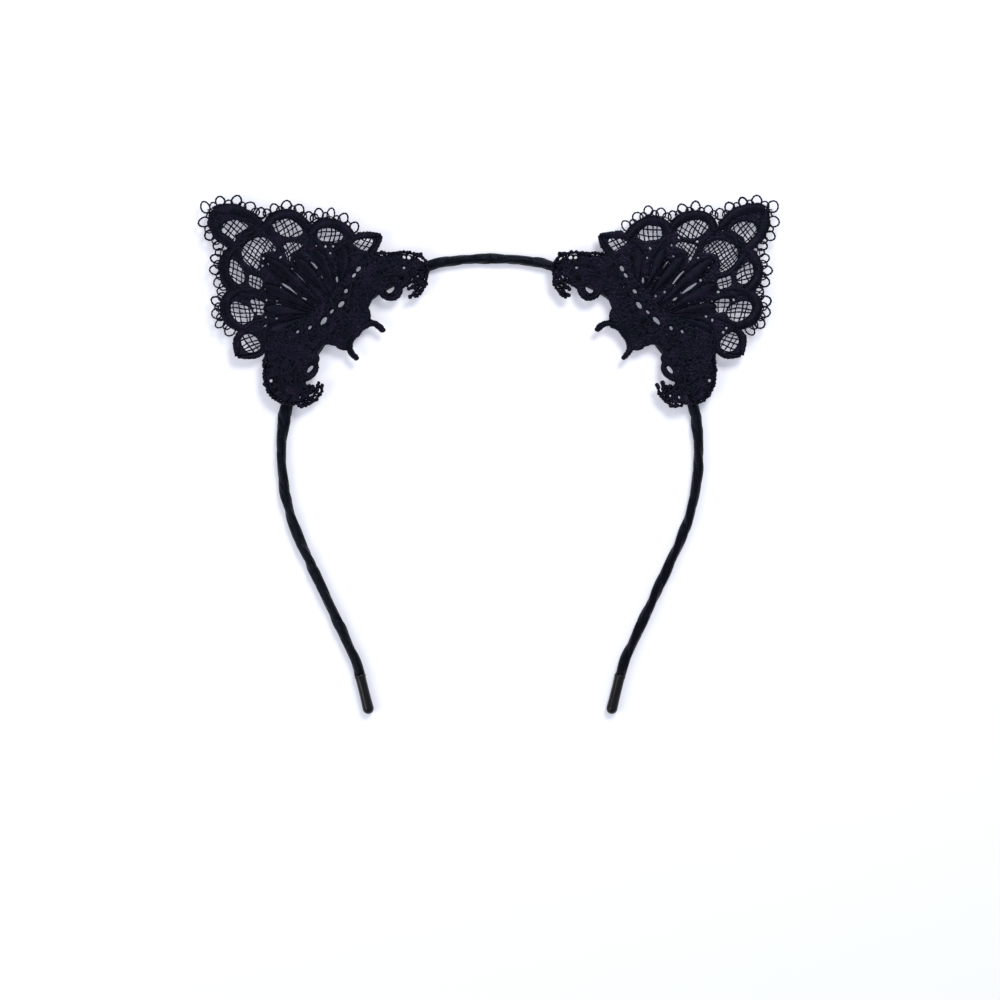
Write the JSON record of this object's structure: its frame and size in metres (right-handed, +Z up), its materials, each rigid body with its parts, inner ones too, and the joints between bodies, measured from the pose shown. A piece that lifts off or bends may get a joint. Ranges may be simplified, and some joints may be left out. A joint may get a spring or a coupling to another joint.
{
  "type": "animal ears headband",
  "caption": "Ribbon-wrapped spring-wire headband with two triangular lace ears sewn to it; the sides spring open and the ears tilt.",
  "frame": {"origin": "on the table, under the middle of the whole object as it lies flat", "axes": "+Z up from the table, +Y from the open ends to the crown, +X across the band"},
  "size_m": [0.192, 0.172, 0.0058],
  "materials": {
    "spring_wire": "drawn spring steel, hidden in the ribbon",
    "satin_ribbon": "black satin ribbon wound in overlapping turns",
    "end_cap": "glossy black",
    "sewing_thread": "twisted polyester thread",
    "lace_net": "fine twisted ground threads",
    "picot_thread": "single twisted thread in open loops",
    "lace_embroidery": "dense satin-stitch guipure lace, near-black with a blue-violet cast"
  },
  "bodies": {
    "crown": {"crown_wire": "spring_wire", "crown_ribbon": "satin_ribbon"},
    "left_side": {"left_wire": "spring_wire", "left_ribbon": "satin_ribbon", "left_tip_cap": "end_cap", "left_crown_stitch": "sewing_thread", "left_leg_stitch": "sewing_thread"},
    "right_side": {"right_wire": "spring_wire", "right_ribbon": "satin_ribbon", "right_tip_cap": "end_cap", "right_crown_stitch": "sewing_thread", "right_leg_stitch": "sewing_thread"},
    "left_ear": {"left_ear_net": "lace_net", "left_ear_tip_petal": "lace_embroidery", "left_ear_crown_arches": "lace_embroidery", "left_ear_leg_arches": "lace_embroidery", "left_ear_fan_petals": "lace_embroidery", "left_ear_crown_leaf": "lace_embroidery", "left_ear_leg_leaf": "lace_embroidery", "left_ear_picots": "picot_thread", "left_ear_base_band": "lace_embroidery", "left_ear_spurs": "lace_embroidery", "left_ear_crown_scroll": "lace_embroidery", "left_ear_leg_scroll": "lace_embroidery"},
    "right_ear": {"right_ear_net": "lace_net", "right_ear_tip_petal": "lace_embroidery", "right_ear_crown_arches": "lace_embroidery", "right_ear_leg_arches": "lace_embroidery", "right_ear_fan_petals": "lace_embroidery", "right_ear_crown_leaf": "lace_embroidery", "right_ear_leg_leaf": "lace_embroidery", "right_ear_picots": "picot_thread", "right_ear_base_band": "lace_embroidery", "right_ear_spurs": "lace_embroidery", "right_ear_crown_scroll": "lace_embroidery", "right_ear_leg_scroll": "lace_embroidery"}
  },
  "joints": [
    {"name": "left_spread", "type": "hinge", "parent": "crown", "child": "left_side", "pos_m": [-0.01, 0.06458, 0.0019], "axis": [0, 0, -1], "range_deg": [-5, 12], "stiffness_Nm_per_rad": 0.8},
    {"name": "right_spread", "type": "hinge", "parent": "crown", "child": "right_side", "pos_m": [0.01, 0.06458, 0.0019], "axis": [0, 0, 1], "range_deg": [-5, 12], "stiffness_Nm_per_rad": 0.8},
    {"name": "left_ear_tilt", "type": "hinge", "parent": "left_side", "child": "left_ear", "pos_m": [-0.02255, 0.06187, 0.0045], "axis": [0.7131, 0.7011, 0], "range_deg": [0, 27]},
    {"name": "right_ear_tilt", "type": "hinge", "parent": "right_side", "child": "right_ear", "pos_m": [0.02255, 0.06187, 0.0045], "axis": [0.7131, -0.7011, 0], "range_deg": [0, 27]}
  ]
}
